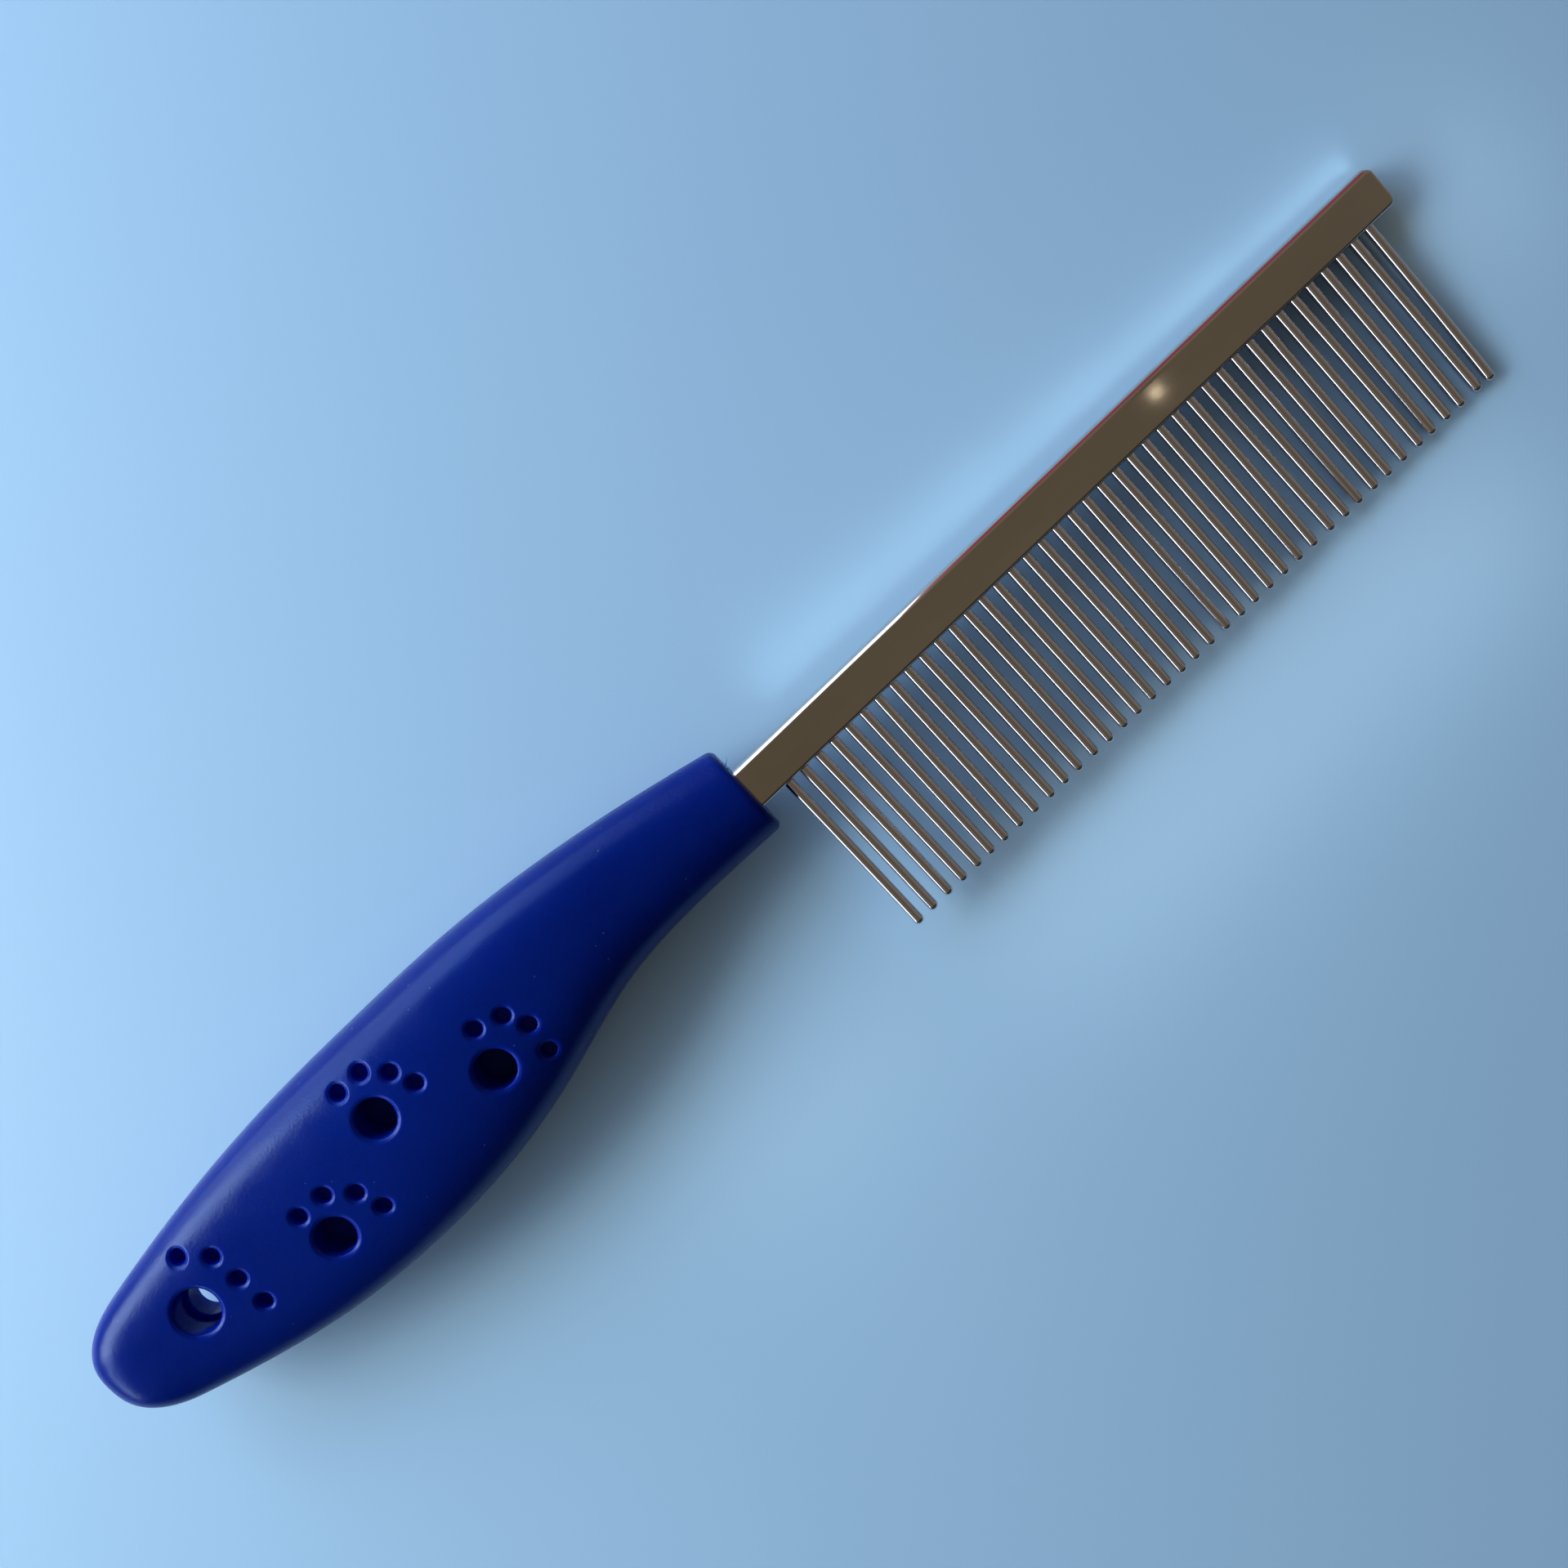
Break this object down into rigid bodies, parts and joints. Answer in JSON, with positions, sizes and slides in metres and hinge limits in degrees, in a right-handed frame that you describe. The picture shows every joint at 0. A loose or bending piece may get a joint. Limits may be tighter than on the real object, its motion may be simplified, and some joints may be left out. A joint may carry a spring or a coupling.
{
  "type": "grooming comb",
  "caption": "Pet grooming comb: a contoured moulded handle with a hanging hole and paw-print recesses on a flat steel bar with a row of fine round pins.",
  "frame": {"origin": "centre of the hanging hole in the handle, at mid thickness", "axes": "+X along the comb from the hanging hole to the far end of the bar, +Z out of the broad upper face, pins point to -Y"},
  "size_m": [0.2007, 0.0378, 0.0144],
  "materials": {
    "handle_plastic": "satin, finely textured",
    "bar_steel": "polished",
    "pin_steel": "polished"
  },
  "bodies": {
    "root": {"handle": "handle_plastic", "bar": "bar_steel", "pin_01": "pin_steel", "pin_02": "pin_steel", "pin_03": "pin_steel", "pin_04": "pin_steel", "pin_05": "pin_steel", "pin_06": "pin_steel", "pin_07": "pin_steel", "pin_08": "pin_steel", "pin_09": "pin_steel", "pin_10": "pin_steel", "pin_11": "pin_steel", "pin_12": "pin_steel", "pin_13": "pin_steel", "pin_14": "pin_steel", "pin_15": "pin_steel", "pin_16": "pin_steel", "pin_17": "pin_steel", "pin_18": "pin_steel", "pin_19": "pin_steel", "pin_20": "pin_steel", "pin_21": "pin_steel", "pin_22": "pin_steel", "pin_23": "pin_steel", "pin_24": "pin_steel", "pin_25": "pin_steel", "pin_26": "pin_steel", "pin_27": "pin_steel", "pin_28": "pin_steel", "pin_29": "pin_steel", "pin_30": "pin_steel", "pin_31": "pin_steel", "pin_32": "pin_steel", "pin_33": "pin_steel", "pin_34": "pin_steel", "pin_35": "pin_steel", "pin_36": "pin_steel", "pin_37": "pin_steel", "pin_38": "pin_steel", "pin_39": "pin_steel", "pin_40": "pin_steel"}
  },
  "joints": []
}
